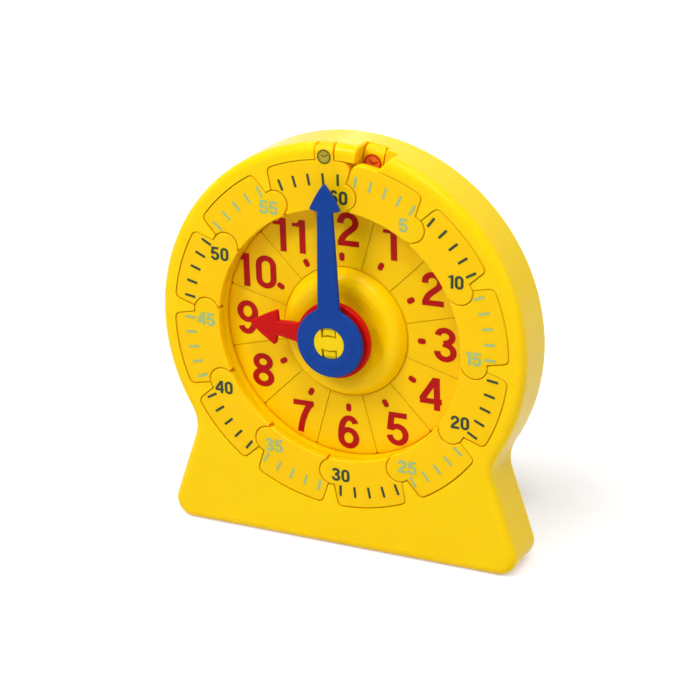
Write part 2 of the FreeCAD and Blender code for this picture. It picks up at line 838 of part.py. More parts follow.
def hour_wheel():
    """The 12:1 wheel and the tube that carries the hour hand through the casing."""
    seat = tube_seat(0.0, hour_hand_front + tube_front_gap, -hour_hand_back + JOIN)
    seat = turned(seat, hour_hand_angle)
    tube = disc(tube_radius, -hour_hand_back, wheel_front + gear_thickness / 2)
    wheel = slab(gear_wire(hour_wheel_teeth, 180.0), wheel_front, wheel_back)
    solid = seat.fuse(tube).fuse(wheel)
    return one_solid(solid.cut(disc(tube_bore, hour_hand_front - PAST, wheel_back + PAST)))


# ---- gears -----------------------------------------------------------------------------
def involute(base, radius):
    """How far an involute has turned, in radians, when it reaches a radius."""
    angle = math.acos(min(1.0, base / radius))
    return math.tan(angle) - angle


def gear_wire(teeth, first_tooth, v=0.0):
    """Involute spur gear outline about (0, v), with a tooth centred at the first angle."""
    pitch_radius = gear_module * teeth / 2
    base = pitch_radius * math.cos(math.radians(pressure_angle))
    tip = pitch_radius + addendum
    root = pitch_radius - dedendum
    flank_start = max(base, root)
    half_pitch_angle = math.pi / 2 / teeth - backlash / 2 / pitch_radius
    at_pitch = half_pitch_angle + involute(base, pitch_radius)

    def spot(radius, centre, side):
        angle = centre + side * (at_pitch - involute(base, radius))
        return at(radius * math.sin(angle), v + radius * math.cos(angle))

    def bare(radius, centre, side):
        angle = centre + side * (at_pitch - involute(base, flank_start))
        return at(radius * math.sin(angle), v + radius * math.cos(angle))

    def on_circle(radius, angle):
        return at(radius * math.sin(angle), v + radius * math.cos(angle))

    edges = []
    step = 2 * math.pi / teeth
    flank_middle = (flank_start + tip) / 2
    for number in range(teeth):
        centre = math.radians(first_tooth) + number * step
        if root < base:
            edges.append(line(bare(root, centre, -1), bare(base, centre, -1)))
        edges.append(arc(spot(flank_start, centre, -1), spot(flank_middle, centre, -1),
                         spot(tip, centre, -1)))
        edges.append(arc(spot(tip, centre, -1), on_circle(tip, centre), spot(tip, centre, 1)))
        edges.append(arc(spot(tip, centre, 1), spot(flank_middle, centre, 1),
                         spot(flank_start, centre, 1)))
        if root < base:
            edges.append(line(bare(base, centre, 1), bare(root, centre, 1)))
        edges.append(arc(bare(root, centre, 1), on_circle(root, centre + step / 2),
                         bare(root, centre + step, -1)))
    return Part.Wire(edges)


def reduction_gear():
    """The compound gear on the casing's post, below the clock axis."""
    v = -centre_distance
    gap_at_top = 180.0 / reduction_wheel_teeth
    small_gap_at_top = 180.0 / reduction_pinion_teeth
    wheel = slab(gear_wire(reduction_wheel_teeth, gap_at_top, v), pinion_front, pinion_back)
    pinion = slab(gear_wire(reduction_pinion_teeth, small_gap_at_top, v), wheel_front, pinion_front)
    hub = disc(hub_radius, pinion_back, pinion_back + hub_height, 0, v)
    gear = wheel.fuse(pinion).fuse(hub)
    bore = disc(post_radius + running_clearance, wheel_front - PAST, cover_front, 0, v)
    return one_solid(gear.cut(bore))


# ---- output ----------------------------------------------------------------------------
def sub_parts():
    yield "front_housing", front_housing()
    yield "rear_cover", rear_cover()
    yield "cover_screws", cover_screws()
    for index in range(hours):
        yield "minute_link_%02d" % (5 * (index + 1)), minute_link(index)
    for index in range(hours):
        yield "hour_tile_%02d" % (index + 1), hour_tile(index)
    yield "minute_hand", minute_hand()
    yield "hour_hand", hour_hand()
    yield "minute_arbor", minute_arbor()
    yield "hour_wheel", hour_wheel()
    yield "reduction_gear", reduction_gear()


os.makedirs("parts", exist_ok=True)
for name, shape in sub_parts():
    shape.exportStep("parts/%s.step" % name)
    print("%-18s %2d solid(s) %9.1f mm3 valid %s" % (
        name, len(shape.Solids), shape.Volume, shape.isValid()))
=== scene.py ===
import json
import math

import bmesh
import bpy
from mathutils import Matrix, Vector
from mathutils.geometry import delaunay_2d_cdt


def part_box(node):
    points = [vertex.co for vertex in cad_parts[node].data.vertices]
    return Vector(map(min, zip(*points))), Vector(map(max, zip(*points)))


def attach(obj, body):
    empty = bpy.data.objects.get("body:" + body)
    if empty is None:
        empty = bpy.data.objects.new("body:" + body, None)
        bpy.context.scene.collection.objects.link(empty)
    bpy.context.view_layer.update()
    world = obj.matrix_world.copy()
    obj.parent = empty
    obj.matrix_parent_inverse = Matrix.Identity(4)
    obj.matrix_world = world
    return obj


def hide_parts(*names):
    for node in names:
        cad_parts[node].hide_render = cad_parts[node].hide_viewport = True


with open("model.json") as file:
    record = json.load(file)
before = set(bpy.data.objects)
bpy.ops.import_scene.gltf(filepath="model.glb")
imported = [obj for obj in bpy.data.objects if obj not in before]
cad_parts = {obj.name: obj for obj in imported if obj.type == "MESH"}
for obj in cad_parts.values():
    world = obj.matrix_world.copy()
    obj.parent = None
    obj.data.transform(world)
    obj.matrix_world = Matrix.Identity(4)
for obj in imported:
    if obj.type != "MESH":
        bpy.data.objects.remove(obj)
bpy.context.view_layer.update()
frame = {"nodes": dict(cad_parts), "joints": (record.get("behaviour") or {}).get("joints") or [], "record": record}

# Geared teaching clock, dressed: printed ticks, numbers and clock symbols, threaded cover
# screws, moulded-plastic finishes, and the studio. Metres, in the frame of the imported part:
# +X to the clock's right, +Y to its back, +Z up. Clock angles run clockwise from twelve, in
# degrees.

MM = 0.001

# ---- places taken from the frame ---------------------------------------------------------
joints = {joint["name"]: joint for joint in frame["joints"]}
AXIS_HEIGHT = joints["minute_hand_turn"]["pos_m"][2]
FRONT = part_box("front_housing")[0].y
LINK_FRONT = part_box("minute_link_15")[0].y
TILE_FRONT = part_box("hour_tile_03")[0].y
HOURS = 12

# ---- prints ------------------------------------------------------------------------------
# Each print is a film that stands proud of its face, and reaches a little into it.
INK_HEIGHT = 0.03 * MM
INK_SUNK = 0.03 * MM

# Corners of a print nearer than this are one, and faces are joined up to this angle.
MERGE_GAP = 1e-8
FLAT_ANGLE = math.radians(1)

# A link's ticks stand a little closer than true minutes, and a rounded end is given as a share
# of a mark's half width.
DIAL_PITCH = 360.0 / HOURS
TICKS_PER_LINK = 5
TICK_RADIUS = 54.0 * MM
TICK_LENGTH = 3.9 * MM
TICK_WIDTH = 0.85 * MM
TICK_PITCH = 5.54
TICK_ROUNDNESS = 0.25

MINUTE_NUMBER_RADIUS = 48.1 * MM
MINUTE_NUMBER_HEIGHT = 4.5 * MM

# Every link was printed on its own, so each print lies a little off its place. In millimetres,
# for the link that holds each number: how far its ticks lie clockwise and outwards, and how far
# its number lies to the right and up.
MINUTE_PRINT_SLIP = {
    5: ((-0.3, -0.2), (-0.5, -0.3)),
    10: ((-0.7, 0.5), (-0.1, 0.8)),
    15: ((-0.3, -0.5), (-0.3, 0.0)),
    20: ((-0.9, 0.6), (1.7, 1.4)),
    25: ((-0.2, -0.3), (0.9, 0.2)),
    30: ((-0.7, 0.3), (0.8, -0.4)),
    35: ((-0.3, -0.1), (0.3, -0.3)),
    40: ((-0.5, 0.4), (-0.4, 0.1)),
    45: ((-0.5, 0.1), (0.0, -0.4)),
    50: ((-0.4, 0.2), (-0.6, -0.9)),
    55: ((-0.4, -0.2), (0.1, -0.3)),
    60: ((0.8, -0.7), (1.0, -0.4)),
}

HOUR_NUMBER_RADIUS = 36.0 * MM
HOUR_NUMBER_HEIGHT = 11.45 * MM
HOUR_NUMBER_TILT = -1.0
HOUR_TICK_RADIUS = 26.8 * MM
HOUR_TICK_LENGTH = 2.9 * MM
HOUR_TICK_WIDTH = 1.9 * MM
HOUR_TICK_TURN = -1.6
HOUR_TICK_ROUNDNESS = 0.9

# How far each tile's number and its hour mark lie to the right and up, in millimetres.
HOUR_PRINT_SLIP = {
    1: ((-2.0, 1.2), (0.0, 0.5)),
    2: ((-0.3, 0.9), (0.4, -0.1)),
    3: ((-0.7, 0.6), (0.3, -0.2)),
    4: ((-0.9, 0.9), (0.2, -0.4)),
    5: ((0.5, -0.3), (0.1, -0.3)),
    6: ((0.7, 0.4), (0.1, 0.0)),
    7: ((2.3, -1.4), (-0.1, 0.3)),
    8: ((0.6, -0.3), (0.0, 0.3)),
    9: ((0.1, -0.3), (0.0, 0.2)),
    10: ((-1.1, -1.5), (0.2, -0.3)),
    11: ((-2.0, -0.8), (0.2, -1.1)),
    12: ((-1.9, -0.9), (-0.3, -1.2)),
}

# The symbols on the pull tabs: the blue tab's is on the minute line, the red tab's on the hour
# line.
BLUE_SYMBOL = {"radius": 60.75 * MM, "angle": -3.6, "size": 4.8 * MM}
RED_SYMBOL = {"radius": 59.0 * MM, "angle": 9.8, "size": 6.3 * MM}


def on_face(angle, radius, y):
    """The point at a clock angle and radius about the clock axis."""
    turn = math.radians(angle)
    return Vector((radius * math.sin(turn), y, AXIS_HEIGHT + radius * math.cos(turn)))


# ---- lettering ---------------------------------------------------------------------------
# Figures are drawn as strokes in a box one unit high, with a nib that is wider across upright
# strokes (its first number) than across level ones (its second), as in a plain printed
# grotesque.
HOUR_NIB = (0.195, 0.167)
MINUTE_NIB = (0.212, 0.182)

# The space between the figures of a number, and of the hours that differ.
FIGURE_GAP = 0.10
HOUR_GAPS = {10: 0.20, 11: 0.19, 12: 0.125}

# Degrees between the points of a bow, points of a curve, and how near the ends of a closed
# stroke lie.
BOW_STEP = 9.0
CURVE_STEPS = 10
CLOSE = 1e-6


def bow(cx, cz, rx, rz, start, end):
    """Points along an ellipse, angles anticlockwise from +x."""
    count = max(2, round(abs(end - start) / BOW_STEP))
    turns = [math.radians(start + (end - start) * i / count) for i in range(count + 1)]
    return [(cx + rx * math.cos(t), cz + rz * math.sin(t)) for t in turns]


def curve(a, b, c, d):
    """Points along a cubic from a to d."""
    points = []
    for i in range(CURVE_STEPS + 1):
        t = i / CURVE_STEPS
        s = 1 - t
        points.append(tuple(s ** 3 * p + 3 * s * s * t * q + 3 * s * t * t * r + t ** 3 * w
                            for p, q, r, w in zip(a, b, c, d)))
    return points


def figures(nib):
    """Width and strokes of every figure. A and L are half the nib, across and level."""
    A, L = nib[0] / 2, nib[1] / 2
    drawn = {
        "0": (0.66, [bow(0.33, 1 - 0.30, 0.33 - A, 0.30 - L, 180, 0)
                     + bow(0.33, 0.30, 0.33 - A, 0.30 - L, 0, -180)
                     + [(A, 0.70)]]),
        "1": (0.42, [[(0.42 - A, 0), (0.42 - A, 1.0)]]),
        "2": (0.66, [[(A, 0.66)] + bow(0.33, 0.70, 0.33 - A, 0.30 - L, 172, 0)
                     + curve((0.66 - A, 0.70), (0.66 - A, 0.46),
                             (A, 0.42), (A - 0.005, 0.02))[1:],
                     [(0.0, L), (0.66, L)]]),
        "3": (0.69, [bow(0.34, 0.735, 0.32 - A, 0.27 - L, 172, -62)
                     + [(0.30, 0.525)],
                     [(0.28, 0.525)] + bow(0.345, 0.275, 0.345 - A, 0.30 - L, 84, -182)]),
        "4": (0.68, [[(0.53, 0), (0.53, 0.99)],
                     [(0.50, 0.955), (0.06, 0.305)],
                     [(0.0, 0.27), (0.68, 0.27)]]),
        "5": (0.69, [[(0.64, 1 - L), (0.12, 1 - L)],
                     [(0.175, 0.99), (0.105, 0.44)],
                     bow(0.34, 0.315, 0.35 - A, 0.34 - L, 142, -172)]),
        "6": (0.68, [bow(0.34, 0.315, 0.34 - A, 0.335 - L, 0, 360),
                     curve((A, 0.33), (A, 0.80), (0.25, 1.02 - L), (0.37, 1.02 - L))[:-1]
                     + bow(0.37, 0.74, 0.295 - A, 0.28 - L, 90, 12)]),
        "7": (0.66, [[(0.0, 1 - L), (0.66, 1 - L)],
                     curve((0.61, 0.95), (0.38, 0.72), (0.26, 0.36), (0.21, 0.0))]),
        "8": (0.70, [bow(0.35, 0.75, 0.32 - A, 0.27 - L, 0, 360),
                     bow(0.35, 0.275, 0.35 - A, 0.295 - L, 0, 360)]),
    }
    drawn["9"] = (0.68, [[(0.68 - x, 1 - z) for x, z in stroke] for stroke in drawn["6"][1]])
    return drawn


def flag(nib):
    """The flag of the figure 1, which runs into the middle of its upright."""
    left, middle = 0.42 - nib[0], 0.42 - nib[0] / 2
    return [(left + 0.01, 1.0), (left - 0.03, 0.93), (0.13, 0.895), (0.0, 0.89),
            (0.0, 0.79), (middle, 0.79), (middle, 1.0)]


def nib_quads(stroke, nib):
    """The stroke's outline as a chain of quads, which meet where the stroke is closed."""
    closed = math.dist(stroke[0], stroke[-1]) < CLOSE
    points = stroke[:-1] if closed else stroke
    count = len(points)
    rims = []
    for i, (x, z) in enumerate(points):
        before = points[i - 1] if i or closed else points[0]
        after = points[(i + 1) % count] if i < count - 1 or closed else points[-1]
        dx, dz = after[0] - before[0], after[1] - before[1]
        length = math.hypot(dx, dz)
        nx, nz = -dz / length * nib[0] / 2, dx / length * nib[1] / 2
        rims.append(((x + nx, z + nz), (x - nx, z - nz)))
    steps = range(count if closed else count - 1)
    return [(rims[i][0], rims[(i + 1) % count][0], rims[(i + 1) % count][1], rims[i][1])
            for i in steps]


def figure_shapes(text, nib, gap):
    """Every polygon of a number, centred on the origin, and one unit high."""
    shapes = []
    pen = 0.0
    drawn = figures(nib)
    for figure in text:
        width, strokes = drawn[figure]
        polygons = [quad for stroke in strokes for quad in nib_quads(stroke, nib)]
        if figure == "1":
            polygons.append(flag(nib))
        shapes += [[(x + pen, z - 0.5) for x, z in polygon] for polygon in polygons]
        pen += width + gap
    middle = (pen - gap) / 2
    return [[(x - middle, z) for x, z in polygon] for polygon in shapes]


def bar(length, width, roundness=0.0):
    """An upright bar as one polygon, its ends rounded by a share of half its width."""
    round_end = width / 2 * roundness
    top = length / 2
    if not round_end:
        return [(-width / 2, -top), (width / 2, -top), (width / 2, top), (-width / 2, top)]
    right = bow(0, top - round_end, width / 2, round_end, 0, 180)
    left = bow(0, -top + round_end, width / 2, round_end, 180, 360)
    return right + left


def placed(polygons, scale, angle, x, z):
    """Polygons scaled, turned clockwise and moved in the plane of the face."""
    turn = math.radians(angle)
    cos, sin = math.cos(turn), math.sin(turn)
    return [[(x + scale * (px * cos + pz * sin), z + scale * (pz * cos - px * sin))
             for px, pz in polygon] for polygon in polygons]


def anticlockwise(polygon):
    """The polygon with its corners in anticlockwise order."""
    twice_area = sum(a[0] * b[1] - b[0] * a[1]
                     for a, b in zip(polygon, list(polygon[1:]) + [polygon[0]]))
    return list(polygon) if twice_area > 0 else list(reversed(polygon))


def merged(polygons):
    """Triangles that cover the union of overlapping polygons."""
    corners, faces = [], []
    for polygon in map(anticlockwise, polygons):
        start = len(corners)
        corners += [Vector(p) for p in polygon]
        faces.append(list(range(start, start + len(polygon))))
    points, _, triangles, _, _, sources = delaunay_2d_cdt(corners, [], faces, 0, MERGE_GAP)
    return points, [t for t, source in zip(triangles, sources) if source]


def ink(name, polygons, y, material, body):
    """A printed mark: a thin closed film on the face at depth y."""
    points, triangles = merged(polygons)
    mesh = bmesh.new()
    base = [mesh.verts.new((p.x, y + INK_SUNK, p.y)) for p in points]
    for triangle in triangles:
        mesh.faces.new([base[i] for i in triangle])
    bmesh.ops.delete(mesh, geom=[v for v in mesh.verts if not v.link_faces], context="VERTS")
    bmesh.ops.dissolve_limit(mesh, angle_limit=FLAT_ANGLE, verts=mesh.verts[:],
                             edges=mesh.edges[:])
    raised = bmesh.ops.extrude_face_region(mesh, geom=mesh.faces[:], use_keep_orig=True)
    lifted = [g for g in raised["geom"] if isinstance(g, bmesh.types.BMVert)]
    bmesh.ops.translate(mesh, verts=lifted, vec=(0, -INK_SUNK - INK_HEIGHT, 0))
    bmesh.ops.recalc_face_normals(mesh, faces=mesh.faces[:])
    data = bpy.data.meshes.new(name)
    mesh.to_mesh(data)
    mesh.free()
    piece = bpy.data.objects.new(name, data)
    bpy.context.scene.collection.objects.link(piece)
    data.materials.append(material)
    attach(piece, body)


# ---- materials ---------------------------------------------------------------------------
class Surface:
    """A Principled material with helpers for the nodes that vary it."""

    def __init__(self, name, **settings):
        self.material = bpy.data.materials.new(name)
        self.material.use_nodes = True
        self.tree = self.material.node_tree
        self.shader = self.tree.nodes["Principled BSDF"]
        for socket, value in settings.items():
            self.shader.inputs[socket.replace("_", " ")].default_value = value

    def node(self, kind, **settings):
        """A new node of the material, with its properties set."""
        node = self.tree.nodes.new(kind)
        for key, value in settings.items():
            setattr(node, key, value)
        return node

    def link(self, out, into):
        """Connects an output to an input."""
        self.tree.links.new(out, into)

    def noise(self, waves, detail, roughness):
        """Noise on the object's own coordinates, in waves per metre."""
        place = self.node("ShaderNodeTexCoord")
        noise = self.node("ShaderNodeTexNoise")
        noise.inputs["Scale"].default_value = waves
        noise.inputs["Detail"].default_value = detail
        noise.inputs["Roughness"].default_value = roughness
        self.link(place.outputs["Object"], noise.inputs["Vector"])
        return noise.outputs["Fac"]

    def spread(self, value, low, high, out_low, out_high):
        """The value, mapped from one range to another."""
        ranged = self.node("ShaderNodeMapRange")
        for socket, number in zip(("From Min", "From Max", "To Min", "To Max"),
                                  (low, high, out_low, out_high)):
            ranged.inputs[socket].default_value = number
        self.link(value, ranged.inputs["Value"])
        return ranged.outputs["Result"]

    def colour_between(self, value, first, second):
        """The base colour, blended between two by the value."""
        mix = self.node("ShaderNodeMix", data_type="RGBA")
        self.link(value, mix.inputs["Factor"])
        mix.inputs["A"].default_value = (*first, 1)
        mix.inputs["B"].default_value = (*second, 1)
        self.link(mix.outputs["Result"], self.shader.inputs["Base Color"])
        return mix.outputs["Result"]

    def deepen_seams(self, colour, seam_shade):
        """Painted shade: the colour turns to a deeper shade colour where the surface is hemmed in, as in a narrow
        gap.
        """
        hemmed = self.node("ShaderNodeAmbientOcclusion", samples=SEAM_SAMPLES)
        hemmed.inputs["Distance"].default_value = SEAM_REACH
        mix = self.node("ShaderNodeMix", data_type="RGBA")
        self.link(self.spread(hemmed.outputs["AO"], *SEAM_OPENNESS, 1.0, 0.0),
                  mix.inputs["Factor"])
        self.link(colour, mix.inputs["A"])
        mix.inputs["B"].default_value = (*seam_shade, 1)
        self.link(mix.outputs["Result"], self.shader.inputs["Base Color"])

    def combined(self, operation, first, second):
        """Two values, put together by a sum or a product."""
        combine = self.node("ShaderNodeMath", operation=operation)
        self.link(first, combine.inputs[0])
        self.link(second, combine.inputs[1])
        return combine.outputs[0]

    def roughen(self, value, smoothest, roughest):
        """The roughness, varied between two by the value."""
        self.link(self.spread(value, *MIDDLE, smoothest, roughest),
                  self.shader.inputs["Roughness"])

    def bump(self, value, strength, distance):
        """The value as fine relief of the surface."""
        bump = self.node("ShaderNodeBump")
        bump.inputs["Strength"].default_value = strength
        bump.inputs["Distance"].default_value = distance
        self.link(value, bump.inputs["Height"])
        self.link(bump.outputs["Normal"], self.shader.inputs["Normal"])


def linear(red, green, blue):
    """An sRGB colour, 0 to 255, as linear values."""
    def one(level):
        """One channel, by the sRGB curve."""
        level /= 255
        return level / 12.92 if level <= 0.04045 else ((level + 0.055) / 1.055) ** 2.4
    return one(red), one(green), one(blue)


# The noises that vary a finish: waves per metre, the levels of finer detail, and their strength.
FLOW = (38.0, 3.0, 0.55)
HANDLING = (120.0, 4.0, 0.6)
GRAIN = (900.0, 2.0, 0.5)
INK_COVER = (700.0, 3.0, 0.7)
INK_GRAIN = (2200.0, 2.0, 0.5)
TARNISH = (900.0, 3.0, 0.5)
TURNING = (4000.0, 2.0, 0.5)
SPECKS = (60.0, 4.0, 0.5)

# The part of a noise's range that is spread over a finish.
MIDDLE = (0.3, 0.7)
INK_MIDDLE = (0.35, 0.75)

# Strength and height of the fine relief.
GRAIN_RELIEF = (0.25, 0.0015 * MM)
INK_RELIEF = (0.2, 0.003 * MM)
TURNING_RELIEF = (0.2, 0.004 * MM)

# Roughness, lowest and highest. A plastic's own roughness is varied by these shares.
PLASTIC_UNEVENNESS = (0.92, 1.1)
INK_ROUGHNESS = (0.30, 0.42)
STEEL_ROUGHNESS = (0.22, 0.38)

PLASTIC_IOR = 1.5
PLASTIC_GLOSS = 0.10
# Light scatters inside the yellow plastics, red the furthest.
SCATTER_RADIUS = (1.0, 0.5, 0.1)
SCATTER_REACH = 2.5 * MM
YELLOW_SCATTER = 0.6
ARBOR_SCATTER = 0.3

# Painted shade: in gaps narrower than the reach the yellow is painted deeper, the more so the less the surface
# sees.
SEAM_SAMPLES = 6
SEAM_REACH = 1.5 * MM
SEAM_OPENNESS = (0.20, 0.92)
SEAM_SHADE_ORANGE = linear(255, 150, 0)
SEAM_SHADE_AMBER = linear(255, 184, 0)


def moulded_plastic(name, colour, deeper, roughness, scatter=0.0, seam_shade=None):
    """Moulded plastic: faint flow in its colour, uneven gloss, a very fine grain, and painted shade in its narrow
    gaps where a seam shade is given.
    """
    surface = Surface(name, Roughness=roughness, IOR=PLASTIC_IOR,
                      Specular_IOR_Level=PLASTIC_GLOSS, Subsurface_Weight=scatter,
                      Subsurface_Radius=SCATTER_RADIUS, Subsurface_Scale=SCATTER_REACH)
    flow = surface.noise(*FLOW)
    flowing = surface.colour_between(surface.spread(flow, *MIDDLE, 0.0, 1.0), colour, deeper)
    # Painted shade: the seam colour is painted where the surface is hemmed in.
    if seam_shade:
        surface.deepen_seams(flowing, seam_shade)
    smoothest, roughest = (roughness * share for share in PLASTIC_UNEVENNESS)
    surface.roughen(surface.noise(*HANDLING), smoothest, roughest)
    surface.bump(surface.noise(*GRAIN), *GRAIN_RELIEF)
    return surface.material


def printed(name, colour, worn):
    """Pad-printed ink: thin, slightly uneven, with a little of the plastic showing through."""
    surface = Surface(name, IOR=PLASTIC_IOR, Specular_IOR_Level=PLASTIC_GLOSS)
    cover = surface.noise(*INK_COVER)
    surface.colour_between(surface.spread(cover, *INK_MIDDLE, 0.0, 1.0), colour, worn)
    surface.roughen(cover, *INK_ROUGHNESS)
    surface.bump(surface.noise(*INK_GRAIN), *INK_RELIEF)
    return surface.material


def turned_steel(name, bright, dull):
    """Zinc-plated steel, unevenly tarnished, with fine turning marks."""
    surface = Surface(name, Metallic=1.0)
    tarnish = surface.noise(*TARNISH)
    surface.colour_between(tarnish, bright, dull)
    surface.roughen(tarnish, *STEEL_ROUGHNESS)
    surface.bump(surface.noise(*TURNING), *TURNING_RELIEF)
    return surface.material


# The finish of each material slot of the part. A plastic has its colour, the deeper colour of
# its flow, its roughness, how much light scatters in it, and the colour of the shade painted into its seams.
FINISH = {
    "casing_yellow": moulded_plastic("casing_plastic", linear(255, 208, 3), linear(254, 205, 1),
                                     0.24, YELLOW_SCATTER, SEAM_SHADE_AMBER),
    "line_yellow": moulded_plastic("line_plastic", linear(253, 202, 4), linear(250, 197, 2),
                                   0.30, YELLOW_SCATTER, SEAM_SHADE_AMBER),
    "tile_yellow": moulded_plastic("tile_plastic", linear(253, 203, 2), linear(250, 198, 1),
                                   0.34, YELLOW_SCATTER, SEAM_SHADE_ORANGE),
    "arbor_yellow": moulded_plastic("arbor_plastic", linear(240, 206, 8), linear(234, 198, 5),
                                    0.16, ARBOR_SCATTER),
    "hand_blue": moulded_plastic("blue_plastic", linear(16, 63, 147), linear(12, 57, 139),
                                 0.40),
    "hand_red": moulded_plastic("red_plastic", linear(200, 10, 10), linear(192, 8, 8), 0.36),
    "gear_white": moulded_plastic("acetal", linear(236, 236, 228), linear(228, 228, 220), 0.45),
    "screw_steel": turned_steel("zinc_plated_steel", (0.60, 0.60, 0.58), (0.46, 0.46, 0.45)),
}

ink_red = printed("ink_red", linear(176, 12, 8), linear(168, 16, 8))
ink_navy = printed("ink_navy", linear(44, 58, 52), linear(66, 72, 48))
ink_teal = printed("ink_teal", linear(154, 184, 130), linear(176, 186, 104))
ink_olive = printed("ink_olive", linear(98, 88, 12), linear(114, 104, 20))
symbol_olive = printed("symbol_olive", linear(180, 162, 58), linear(172, 152, 48))
symbol_red = printed("symbol_red", linear(190, 56, 6), linear(182, 58, 6))
symbol_orange = printed("symbol_orange", linear(246, 120, 42), linear(238, 108, 36))


def finish_nodes():
    """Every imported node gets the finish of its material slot."""
    for part in frame["record"]["subparts"]:
        node = frame["nodes"][part["node"]]
        node.data.materials.clear()
        node.data.materials.append(FINISH[part["material_slot"]])


# ---- minute line -------------------------------------------------------------------------
def print_minutes(number):
    """Five ticks and one number on a link. Every second link is printed dark."""
    index = number // TICKS_PER_LINK
    number_angle = DIAL_PITCH * index
    (along, out), (right, up) = MINUTE_PRINT_SLIP[number]
    centre = math.radians(number_angle - TICK_PITCH * (TICKS_PER_LINK - 1) / 2)
    slip_x = (along * math.cos(centre) + out * math.sin(centre)) * MM
    slip_z = (out * math.cos(centre) - along * math.sin(centre)) * MM
    polygons = []
    for step in range(TICKS_PER_LINK):
        angle = number_angle - TICK_PITCH * step
        middle = on_face(angle, TICK_RADIUS, LINK_FRONT)
        tick = bar(TICK_LENGTH, TICK_WIDTH, TICK_ROUNDNESS)
        polygons += placed([tick], 1.0, angle, middle.x + slip_x, middle.z + slip_z)
    middle = on_face(number_angle, MINUTE_NUMBER_RADIUS, LINK_FRONT)
    shapes = figure_shapes(str(number), MINUTE_NIB, FIGURE_GAP)
    polygons += placed(shapes, MINUTE_NUMBER_HEIGHT, 0.0,
                       middle.x + right * MM, middle.z + up * MM)
    colour = ink_teal if index % 2 else ink_navy
    ink("print_minutes_%02d" % number, polygons, LINK_FRONT, colour,
        "minute_line")


# ---- hour line ---------------------------------------------------------------------------
def print_hour(hour):
    """A number and its hour mark on a tile."""
    angle = DIAL_PITCH * hour
    middle = on_face(angle, HOUR_NUMBER_RADIUS, TILE_FRONT)
    (right, up), (mark_right, mark_up) = HOUR_PRINT_SLIP[hour]
    shapes = figure_shapes(str(hour), HOUR_NIB, HOUR_GAPS.get(hour, FIGURE_GAP))
    polygons = placed(shapes, HOUR_NUMBER_HEIGHT, HOUR_NUMBER_TILT,
                      middle.x + right * MM, middle.z + up * MM)
    angle += HOUR_TICK_TURN
    middle = on_face(angle, HOUR_TICK_RADIUS, TILE_FRONT)
    mark = bar(HOUR_TICK_LENGTH, HOUR_TICK_WIDTH, HOUR_TICK_ROUNDNESS)
    polygons += placed([mark], 1.0, angle, middle.x + mark_right * MM, middle.z + mark_up * MM)
    ink("print_hour_%02d" % hour, polygons, TILE_FRONT, ink_red, "hour_line")


# ---- clock symbols on the pull tabs ------------------------------------------------------
# Sizes are shares of the symbol's own. A tick is given by its length and width, a hand by its
# clock angle and length. The disc's outline ends a little before it would meet its start.
SYMBOL_RADIUS = 0.5
SYMBOL_RING = 0.11
SYMBOL_RING_SIDES = 48
SYMBOL_DISC_END = 352
SYMBOL_TICKS = 12
SYMBOL_TICK = (0.06, 0.045)
SYMBOL_TICK_RADIUS = 0.33
SYMBOL_HANDS = ((-58.0, 0.24), (60.0, 0.31))
SYMBOL_HAND_WIDTH = 0.10


def ring(outer, inner):
    """A ring about the origin, as quads."""
    quads = []
    for i in range(SYMBOL_RING_SIDES):
        a, b = (2 * math.pi * k / SYMBOL_RING_SIDES for k in (i, i + 1))
        quads.append([(outer * math.cos(a), outer * math.sin(a)),
                      (outer * math.cos(b), outer * math.sin(b)),
                      (inner * math.cos(b), inner * math.sin(b)),
                      (inner * math.cos(a), inner * math.sin(a))])
    return quads


def pointing_bar(length, width, angle, radius):
    """A bar that points away from the origin, at a clock angle and radius."""
    turn = math.radians(angle)
    return placed([bar(length, width)], 1.0, angle,
                  radius * math.sin(turn), radius * math.cos(turn))


def print_symbol(name, spot, y, line, fill, body):
    """A plain clock face: a ring, twelve small marks and two hands, on a filled disc."""
    middle = on_face(spot["angle"], spot["radius"], y)
    place = spot["size"], spot["angle"], middle.x, middle.z
    disc = [bow(0, 0, SYMBOL_RADIUS, SYMBOL_RADIUS, 0, SYMBOL_DISC_END)]
    lines = ring(SYMBOL_RADIUS, SYMBOL_RADIUS - SYMBOL_RING)
    for i in range(SYMBOL_TICKS):
        lines += pointing_bar(*SYMBOL_TICK, 360.0 / SYMBOL_TICKS * i, SYMBOL_TICK_RADIUS)
    for angle, length in SYMBOL_HANDS:
        lines += pointing_bar(length, SYMBOL_HAND_WIDTH, angle, length / 2)
    ink(name + "_disc", placed(disc, *place), y, fill, body)
    ink(name + "_lines", placed(lines, *place), y - INK_HEIGHT, line, body)


# ---- cover screws ------------------------------------------------------------------------
SCREW_SIDES = 36
SCREW_HEAD_HEIGHT = 1.1 * MM
SCREW_HEAD_BREAK = 0.45 * MM
SCREW_CORE = 0.95 * MM
SCREW_THREAD = 1.28 * MM
SCREW_PITCH = 0.9 * MM
SCREW_ROWS_PER_PITCH = 6
SCREW_TIP = 1.0 * MM
SCREW_TIP_RADIUS = SCREW_CORE * 0.35
SCREW_SHARP_ANGLE = math.radians(40)
# Corners nearer than this are one in the head's face, and in the whole screw.
SCREW_MERGE_GAP = 1e-9
SCREW_WELD_GAP = 1e-7
# Half the width of the thread's ridge, as a share of the pitch.
RIDGE_HALF = 0.28
# Each cross: how far its arms reach, and half their width.
RECESS_MOUTH = (1.25 * MM, 0.30 * MM)
RECESS_FLOOR = (0.60 * MM, 0.20 * MM)
RECESS_DEPTH = 0.75 * MM
# How far each screw happens to be driven round, in degrees.
SCREW_TURNS = (20.0, 65.0, 38.0, 82.0)


